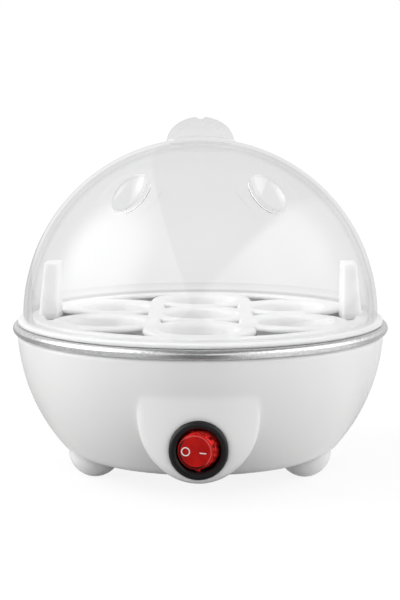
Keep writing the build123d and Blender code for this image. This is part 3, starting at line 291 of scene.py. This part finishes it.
def lid_tint(tree, from_middle, wave, frost):
    """Faint grey tint of the lid, darker towards its lower edge and where it is seen slanted, with painted
    shade lines at the wall's inner side, the band's upper edge and the lower edge.
    """
    place = split_xyz(tree, from_middle)
    rise = place["Z"]
    tint = mix_colours(tree, ramp(tree, wave, NOISE_SPAN), *LID_TINTS)
    tint = mix_colours(tree, fade(tree, rise, LOW_SPAN, FALLING), tint, LOW_TINT)
    slanted = add_node(tree, "ShaderNodeLayerWeight", {"Blend": 0.35}).outputs["Facing"]
    tint = mix_colours(tree, slanted, tint, SLANTED_TINT)
    # Painted shade: a thin dark line just inside the outline stands in for the wall's inner side seen through
    # the plastic, fainter beside the knob
    grazing = add_node(tree, "ShaderNodeLayerWeight", {"Blend": 0.5}).outputs["Facing"]
    off_knob = fade(tree, axis_distance(tree, from_middle), (12.0 * MM, 35.0 * MM), (0.25, 1.0))
    line_starts = fade(tree, grazing, (0.68, 0.795), (0.0, 0.85))
    line_ends = fade(tree, grazing, (0.80, 0.825), FALLING)
    tint = mix_colours(tree, product(tree, line_starts, line_ends, off_knob), tint, WALL_LINE_SHADE)
    tint = mix_colours(tree, frost, tint, FROST_TINT)
    # Painted shade at the rear only: dark lines stand in for the band's upper edge and for the shade under
    # the lid's lower edge
    band_starts = ramp(tree, rise, (BAND_START, BAND_FULL))
    band_ends = fade(tree, rise, (BAND_FULL, BAND_END), FALLING)
    band_rear = fade(tree, place["Y"], (0.0, 55.0 * MM))
    tint = mix_colours(tree, product(tree, band_starts, band_ends, band_rear), tint, BAND_EDGE_SHADE)
    lower_edge_rear = fade(tree, place["Y"], (0.0, 30.0 * MM))
    lower_edge_shade = product(tree, fade(tree, rise, LOWER_EDGE_SHADE_SPAN, FALLING), lower_edge_rear)
    return mix_colours(tree, lower_edge_shade, tint, LOWER_EDGE_SHADE)


def vent_bending(tree, where):
    """Refraction of the thin wall: it bends what is seen only around the two vents."""
    vent_span = (12.5 * MM, 14.5 * MM)
    bending_levels = (1.07, 1.002)
    place = split_xyz(tree, where)
    mirrored = join_xyz(tree, number_math(tree, "ABSOLUTE", place["X"]), place["Y"], place["Z"])
    from_vent = vector_math(tree, "DISTANCE", mirrored, RIGHT_VENT)
    return fade(tree, from_vent, vent_span, bending_levels)


def clear_plastic(name):
    """Clear moulded lid: faint grey tint, painted shade along its lower edge at the rear, wavy gloss and a
    frosted knob.
    """
    wave_scale = 22.0
    gloss_scale = 60.0
    knob_span = (LID_RADIUS + 0.2 * MM, LID_RADIUS + 1.2 * MM)
    knob_veil = (0.72, 0.72, 0.721)
    frosted_roughness = 0.55
    mat, tree, bsdf = new_material(name)
    where = object_coords(tree)
    from_middle = vector_math(tree, "SUBTRACT", where, (0.0, 0.0, LID_EDGE))
    frost = fade(tree, vector_math(tree, "LENGTH", from_middle), knob_span)
    wave = noise(tree, where, wave_scale, detail=2.0)
    gloss = ramp(tree, noise(tree, where, gloss_scale), NOISE_SPAN, (0.015, 0.04))
    geometry = add_node(tree, "ShaderNodeNewGeometry").outputs
    outwards = vector_math(tree, "DOT_PRODUCT", geometry["Normal"], from_middle)
    outside = ramp(tree, outwards, (-2.0 * MM, 2.0 * MM), (0.12, 1.0))
    shader_values = {
        "Base Color": lid_tint(tree, from_middle, wave, frost),
        "Roughness": mix_values(tree, frost, gloss, frosted_roughness),
        "Transmission Weight": 1.0,
        "IOR": vent_bending(tree, where),
        "Coat Weight": product(tree, outside, ramp(tree, frost, (0.0, 1.0), (1.0, 0.1))),
        "Coat IOR": 1.65,
        "Coat Roughness": 0.03,
    }
    feed(tree, bsdf, shader_values)
    add_bump(tree, bsdf, wave, strength=0.02, distance=0.4 * MM)
    # Light passes straight through to what the lid covers
    path = add_node(tree, "ShaderNodeLightPath").outputs
    passing = number_math(tree, "MAXIMUM", path["Is Shadow Ray"], path["Is Diffuse Ray"])
    # The knob's frosting shows on the face that is seen first
    front = number_math(tree, "SUBTRACT", 1.0, geometry["Backfacing"])
    first = product(tree, front, number_math(tree, "GREATER_THAN", outwards, 0.0))
    open_part = ramp(tree, first, (0.0, 1.0), (1.0, 0.7))
    passing = number_math(tree, "MAXIMUM", passing, product(tree, frost, open_part))
    veil = mix_colours(tree, first, WHITE, knob_veil)
    veil = mix_colours(tree, frost, WHITE, veil)
    clear = add_node(tree, "ShaderNodeBsdfTransparent", {"Color": veil})
    shaders = {"Fac": passing, 1: bsdf.outputs["BSDF"], 2: clear.outputs["BSDF"]}
    mixed = add_node(tree, "ShaderNodeMixShader", shaders)
    feed(tree, tree.nodes["Material Output"], {"Surface": mixed.outputs["Shader"]})
    return mat


def ring_band(tree, distance, inner, outer):
    """1 between two distances from an axis, with soft edges, else 0."""
    soft = 0.12 * MM
    rising = fade(tree, distance, (inner - soft, inner))
    falling = fade(tree, distance, (outer, outer + soft), FALLING)
    return product(tree, rising, falling)


# Rocker: its reds, and distances from the axis of its face where they lie
FACE_REDS = ((0.37, 0.003, 0.002), (0.52, 0.005, 0.003))
DARK_RING = (5.95 * MM, 6.5 * MM)
# Painted shade over the cap's own dark inner edge
RING_SHADE_RED = (0.02, 0.0005, 0.0005)
# Painted highlight line on the face's edge
HIGHLIGHT_LINE = (6.1 * MM, 6.35 * MM)
HIGHLIGHT_LINE_RED = (0.75, 0.2, 0.19)
WALL_SPAN = (6.85 * MM, 7.0 * MM)
# Side walls: a bright red of painted light let through the cap, and a dark red for spots painted for the
# inner parts seen through it
PAINTED_WALL_REDS = ((0.95, 0.035, 0.03), (0.08, 0.002, 0.002))


def rocker_plastic(name):
    """Tinted red cap: mottled face inside a dark ring with painted shade and a painted highlight line, and
    side walls with painted light and painted dark spots of what shows through the red.
    """
    mottle_scale = 170.0
    spot_scale = 620.0
    gloss_scale = 900.0
    grain_scale = 2600.0
    mat, tree, bsdf = new_material(name)
    where = object_coords(tree)
    from_pivot = vector_math(tree, "SUBTRACT", where, ROCKER_PIVOT)
    from_axis = vector_math(tree, "LENGTH", vector_math(tree, "CROSS_PRODUCT", from_pivot, ROCKER_OUT))
    mottle = noise(tree, where, mottle_scale, detail=4.0, roughness=0.6)
    red = mix_colours(tree, fade(tree, mottle, (0.35, 0.65)), *FACE_REDS)
    # Painted shade and highlight: the dark ring, partly the cap's own dark inner edge and partly painted
    # shade, is darkest at the lower left, and a painted highlight line follows it at the upper right
    down_left = -0.75 * ROCKER_ACROSS - 0.65 * ROCKER_UP
    slope = vector_math(tree, "DOT_PRODUCT", from_pivot, down_left)
    shaded_lower_left = fade(tree, slope, (-2.0 * MM, 2.5 * MM))
    highlit_upper_right = fade(tree, slope, (-2.0 * MM, 1.5 * MM), (0.5, 0.0))
    ring = product(tree, ring_band(tree, from_axis, *DARK_RING), shaded_lower_left)
    red = mix_colours(tree, ring, red, RING_SHADE_RED)
    line = product(tree, ring_band(tree, from_axis, *HIGHLIGHT_LINE), highlit_upper_right)
    red = mix_colours(tree, line, red, HIGHLIGHT_LINE_RED)
    # Painted light and see-through spots on the side walls, in place of light and inner parts seen through
    # the translucent red
    see_through_spots = fade(tree, noise(tree, where, spot_scale, detail=2.0), (0.5, 0.6), (0.0, 0.85))
    painted_walls = mix_colours(tree, see_through_spots, *PAINTED_WALL_REDS)
    shader_values = {
        "Base Color": mix_colours(tree, fade(tree, from_axis, WALL_SPAN), red, painted_walls),
        "Roughness": ramp(tree, noise(tree, where, gloss_scale), NOISE_SPAN, (0.08, 0.16)),
        "Specular IOR Level": 0.22,
        "Subsurface Weight": 0.35,
        "Subsurface Radius": (1.0, 0.05, 0.05),
        "Subsurface Scale": 2.0 * MM,
    }
    feed(tree, bsdf, shader_values)
    add_bump(tree, bsdf, noise(tree, where, grain_scale), strength=0.05, distance=0.05 * MM)
    return mat


# Plastics: name of the material and its values
plastics = {
    "housing": dict(
        name="housing_white",
        light=(0.84, 0.84, 0.838),
        dark=(0.82, 0.82, 0.819),
        rough=0.24,
        rough_spread=0.03,
        wave=150.0,
        bump=0.02,
        coat=0.3,
        soften=4.0 * MM,
    ),
    "tray": dict(
        name="tray_white",
        light=(0.80, 0.80, 0.798),
        dark=(0.78, 0.78, 0.779),
        rough=0.36,
        rough_spread=0.05,
        wave=190.0,
        bump=0.03,
        glow=4.0 * MM,
        # painted light: the handles above the tray's top are paler
        painted_light_above=TRAY_TOP,
    ),
    "black": dict(
        name="switch_black",
        light=(0.011, 0.011, 0.012),
        dark=(0.006, 0.006, 0.007),
        rough=0.36,
        rough_spread=0.06,
        wave=900.0,
        bump=0.10,
        shine=0.28,
    ),
    "gland": dict(
        name="gland_rubber",
        light=(0.035, 0.035, 0.036),
        dark=(0.022, 0.022, 0.023),
        rough=0.62,
        rough_spread=0.06,
        wave=800.0,
        bump=0.15,
    ),
    "phenolic": dict(
        name="phenolic_brown",
        light=(0.16, 0.075, 0.045),
        dark=(0.10, 0.045, 0.026),
        rough=0.4,
        rough_spread=0.06,
        wave=700.0,
        bump=0.1,
    ),
    "ceramic": dict(
        name="ceramic_white",
        light=(0.80, 0.77, 0.70),
        dark=(0.72, 0.69, 0.62),
        rough=0.3,
        rough_spread=0.08,
        wave=600.0,
        bump=0.1,
    ),
    "sleeve": dict(
        name="fibre_sleeve",
        light=(0.78, 0.76, 0.68),
        dark=(0.60, 0.58, 0.50),
        rough=0.8,
        rough_spread=0.05,
        wave=1400.0,
        bump=0.5,
    ),
    "lead_brown": dict(
        name="lead_brown",
        light=(0.20, 0.095, 0.05),
        dark=(0.15, 0.07, 0.035),
        rough=0.45,
        rough_spread=0.05,
        wave=700.0,
        bump=0.1,
    ),
    "lead_blue": dict(
        name="lead_blue",
        light=(0.06, 0.15, 0.42),
        dark=(0.045, 0.11, 0.34),
        rough=0.45,
        rough_spread=0.05,
        wave=700.0,
        bump=0.1,
    ),
    "lead_white": dict(
        name="lead_white",
        light=(0.76, 0.75, 0.70),
        dark=(0.68, 0.67, 0.62),
        rough=0.6,
        rough_spread=0.05,
        wave=900.0,
        bump=0.2,
    ),
    "marks": dict(
        name="mark_white",
        light=(0.84, 0.84, 0.83),
        dark=(0.78, 0.78, 0.77),
        rough=0.4,
        rough_spread=0.05,
        wave=900.0,
        bump=0.05,
    ),
}

# Metals: name of the material, light and dark tone, roughness and scale of the grain
metals = {
    "screws": ("screw_steel", (0.66, 0.65, 0.62), (0.50, 0.49, 0.47), 0.32, 900.0),
    "brass": ("contact_brass", (0.75, 0.57, 0.28), (0.60, 0.44, 0.20), 0.3, 800.0),
    "aluminium": ("cast_aluminium", (0.72, 0.72, 0.73), (0.60, 0.60, 0.61), 0.42, 500.0),
    "sheath": ("heater_sheath", (0.36, 0.34, 0.32), (0.24, 0.22, 0.20), 0.5, 600.0),
}

materials = {finish: moulded_plastic(**values) for finish, values in plastics.items()}
materials["steel"] = spun_steel("dish_steel")
materials.update({finish: plain_metal(*values) for finish, values in metals.items()})
materials["lid"] = clear_plastic("lid_clear")
materials["rocker"] = rocker_plastic("rocker_red")

finishes = {
    "housing": ["base_housing", "bottom_cover"],
    "tray": ["egg_tray"],
    "black": ["switch_housing"],
    "gland": ["cord_gland"],
    "phenolic": ["thermostat_body", "switch_plunger"],
    "ceramic": ["heater_insulators", "terminal_block"],
    "sleeve": ["fuse_sleeve"],
    "lead_brown": ["live_lead", "switched_lead"],
    "lead_blue": ["lamp_lead", "neutral_lead"],
    "lead_white": ["thermostat_lead", "element_lead"],
    "steel": ["heating_dish"],
    "screws": [
        "bottom_cover_screws",
        "dish_screws",
        "clip_screws",
        "terminal_screws",
        "terminal_block_screw",
        "heater_pins",
        "thermostat_clip",
        "fuse_clip",
        "switch_spring",
    ],
    "brass": ["thermostat_terminals", "thermal_fuse", "contact_lever", "switch_terminals"],
    "aluminium": ["dish_studs", "heat_spreader", "thermostat_cap"],
    "sheath": ["heater_ring"],
    "lid": ["lid", "switch_lamp"],
    "rocker": ["switch_rocker"],
}
for finish, names in finishes.items():
    for name in names:
        node = nodes[name]
        node.data.materials.clear()
        node.data.materials.append(materials[finish])


# Signs on the rocker: an open ring for off and a short bar for on, by their places on its face
SIGN_UNDER = -0.04 * MM
SIGN_OVER = 0.05 * MM
RING_RADIUS = 1.75 * MM
RING_HOLE_RADIUS = 1.36 * MM
RING_PLACE = (-3.79 * MM, -0.05 * MM)
BAR_LENGTH = 2.7 * MM
BAR_WIDTH = 0.38 * MM
BAR_PLACE = (3.05 * MM, -0.42 * MM)
BAR_TILT = radians(-3.0)


def sign_mesh(name, outline, hole, place, tilt):
    """Thin printed sign on the rocker's face from an outline and, for a ring, its hole."""
    bm = bmesh.new()
    turn = Matrix.Rotation(tilt, 2)

    def loop(flat_points, height):
        verts = []
        for flat in flat_points:
            x, y = turn @ Vector(flat)
            at = ROCKER_FACE + ROCKER_ACROSS * (place[0] + x) + ROCKER_UP * (place[1] + y)
            verts.append(bm.verts.new(at + ROCKER_OUT * height))
        return verts

    count = len(outline)
    outer_top = loop(outline, SIGN_OVER)
    outer_low = loop(outline, SIGN_UNDER)
    if hole:
        inner_top = loop(hole, SIGN_OVER)
        inner_low = loop(hole, SIGN_UNDER)
    for i in range(count):
        j = (i + 1) % count
        bm.faces.new((outer_top[i], outer_low[i], outer_low[j], outer_top[j]))
        if hole:
            bm.faces.new((inner_top[i], inner_top[j], inner_low[j], inner_low[i]))
            bm.faces.new((outer_top[i], outer_top[j], inner_top[j], inner_top[i]))
            bm.faces.new((outer_low[i], inner_low[i], inner_low[j], outer_low[j]))
    if not hole:
        bm.faces.new(outer_top)
        bm.faces.new(list(reversed(outer_low)))
    bmesh.ops.recalc_face_normals(bm, faces=bm.faces)
    mesh = bpy.data.meshes.new(name)
    bm.to_mesh(mesh)
    bm.free()
    mesh.materials.append(materials["marks"])
    obj = bpy.data.objects.new(name, mesh)
    scene.collection.objects.link(obj)
    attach(obj, "rocker")


def circle_points(radius, count=72):
    return [(radius * cos(2 * pi * i / count), radius * sin(2 * pi * i / count)) for i in range(count)]


def bar_points(length, width, count=10):
    """Bar with round ends; count is the number of steps in each end."""
    half = length / 2 - width / 2
    right = [
        (half + width / 2 * cos(pi * i / count - pi / 2), width / 2 * sin(pi * i / count - pi / 2))
        for i in range(count + 1)
    ]
    return right + [(-x, -y) for x, y in right]


sign_mesh("sign_off_ring", circle_points(RING_RADIUS), circle_points(RING_HOLE_RADIUS), RING_PLACE, 0.0)
sign_mesh("sign_on_bar", bar_points(BAR_LENGTH, BAR_WIDTH), None, BAR_PLACE, BAR_TILT)


# Studio: its directions, how white it is behind clear plastic, the floor's reach in metres and its
# own light for the camera and for reflections, and the levels of the front, its door and the back
UPWARDS = (0.0, 0.0, 1.0)
REARWARDS = (0.0, 1.0, 0.0)
FORWARDS = (0.0, -1.0, 0.0)
THROUGH_LEVEL = 0.872
FLOOR_REACH = 8.0
FLOOR_GLOW = 0.87
MIRRORED_GLOW = 0.5
FRONT_LEVEL = 0.31
DOOR_LEVEL = 0.4
BACK_LEVEL = 0.8

# Panels: edge plane and its softness, the lamp's turn, rise and spread in degrees, and the levels
# far from the lamp and at it
LEFT_PANEL = dict(
    edge=(-0.94, 0.0, -0.34), softness=0.012, turn=-79.0, rise=29.0, spread=40.0, dim=0.8, bright=3.15
)
RIGHT_PANEL = dict(
    edge=(0.772, -0.203, -0.602), softness=0.06, turn=74.0, rise=28.0, spread=46.0, dim=0.98, bright=1.85
)


def floor_material(name):
    """White to the camera, but for the shadow, and dimmer in front of the object to other rays."""
    slant = 0.3
    side_levels = (0.58, 0.92)
    unlit_tone = (0.2, 0.2, 0.2)
    lit_tone = (0.6, 0.6, 0.6)
    shadow_tone = (0.13, 0.13, 0.13)
    mat, tree, bsdf = new_material(name)
    place = split_xyz(tree, object_coords(tree))
    from_middle = number_math(tree, "ABSOLUTE", place["X"])
    beside = number_math(tree, "ADD", from_middle, product(tree, place["Y"], slant))
    side = fade(tree, place["X"], (-50.0 * MM, 50.0 * MM), side_levels)
    lit = product(tree, side, fade(tree, beside, (-35.0 * MM, 40.0 * MM)))
    tone = mix_colours(tree, lit, unlit_tone, lit_tone)
    seen, path = seen_rays(tree)
    near = fade(tree, place["Y"], (-20.0 * MM, 60.0 * MM), FALLING)
    unseen = number_math(tree, "SUBTRACT", 1.0, seen)
    mirrored = product(tree, path["Is Glossy Ray"], unseen, lit, near)
    white = ramp(tree, path["Is Camera Ray"], (0.0, 1.0), (FLOOR_GLOW * THROUGH_LEVEL, FLOOR_GLOW))
    glow = number_math(tree, "ADD", product(tree, seen, white), product(tree, mirrored, MIRRORED_GLOW))
    shader_values = {
        "Base Color": mix_colours(tree, seen, tone, shadow_tone),
        "Roughness": 0.6,
        "Specular IOR Level": 0.0,
        "Emission Color": WHITE,
        "Emission Strength": glow,
    }
    feed(tree, bsdf, shader_values)
    return mat


def studio_floor():
    """Floor that carries the soft shadow."""
    mesh = bpy.data.meshes.new("floor")
    corners = [(-1, -1), (1, -1), (1, 1), (-1, 1)]
    mesh.from_pydata([(x * FLOOR_REACH, y * FLOOR_REACH, 0.0) for x, y in corners], [], [(0, 1, 2, 3)])
    mesh.materials.append(floor_material("floor_white"))
    floor = bpy.data.objects.new("floor", mesh)
    scene.collection.objects.link(floor)


def studio_world():
    """Pale studio: white behind the object, a dim front with a dark door, a soft panel on either side."""
    world = bpy.data.worlds.new("studio")
    world.use_nodes = True
    tree = world.node_tree
    where = add_node(tree, "ShaderNodeTexCoord").outputs["Generated"]

    def along(direction):
        """How far the looked-at direction points along another."""
        return vector_math(tree, "DOT_PRODUCT", where, direction)

    def panel(edge, softness, turn, rise, spread, dim, bright):
        """Straight-edged panel, brightest around its lamp, cut back low down and dimmer to the rear."""
        height = along(UPWARDS)
        cut_back = fade(tree, height, (0.0, 0.25), (0.27, 0.0))
        reached = number_math(tree, "SUBTRACT", along(edge), cut_back)
        inside = fade(tree, reached, (-softness, softness))
        above = fade(tree, height, (-0.02, 0.08))
        ahead = fade(tree, along(REARWARDS), (0.05, 0.85), (1.0, 0.2))
        level_reach = cos(radians(rise))
        lamp = (sin(radians(turn)) * level_reach, -cos(radians(turn)) * level_reach, sin(radians(rise)))
        glow = fade(tree, along(lamp), (cos(radians(spread)), 1.0))
        level = ramp(tree, glow, (0.0, 1.0), (dim, bright))
        return product(tree, inside, above, ahead, level)

    level = fade(tree, along(REARWARDS), (-0.5, 1.0), (FRONT_LEVEL, BACK_LEVEL))
    door = fade(tree, along(FORWARDS), (0.925, 0.975), (1.0, DOOR_LEVEL))
    level = product(tree, level, door)
    for side in (LEFT_PANEL, RIGHT_PANEL):
        level = number_math(tree, "ADD", level, panel(**side))
    seen, path = seen_rays(tree)
    white = ramp(tree, path["Is Camera Ray"], (0.0, 1.0), (THROUGH_LEVEL, 1.0))
    strength = mix_values(tree, seen, level, white)
    feed(tree, tree.nodes["Background"], {"Color": WHITE, "Strength": strength})
    return world


studio_floor()
scene.world = studio_world()
scene.view_settings.view_transform = "Standard"

# Camera at the photographed angle, aimed at the rim's centre
RIM_CENTRE = Vector((0.0, 0.0, 61.0 * MM))
CAMERA_TURN = radians(0.55)
CAMERA_BACK = 0.633
CAMERA_RISE = 0.0946
camera_data = bpy.data.cameras.new("camera")
camera_data.lens = 89.28
camera_data.sensor_width = 36.0
camera_data.shift_x = -0.0007
camera_data.shift_y = 0.041
camera = bpy.data.objects.new("camera", camera_data)
camera_from_rim = Vector((CAMERA_BACK * sin(CAMERA_TURN), -CAMERA_BACK * cos(CAMERA_TURN), CAMERA_RISE))
camera.location = RIM_CENTRE + camera_from_rim
camera.rotation_euler = (-camera_from_rim).to_track_quat("-Z", "Y").to_euler()
scene.collection.objects.link(camera)
scene.camera = camera
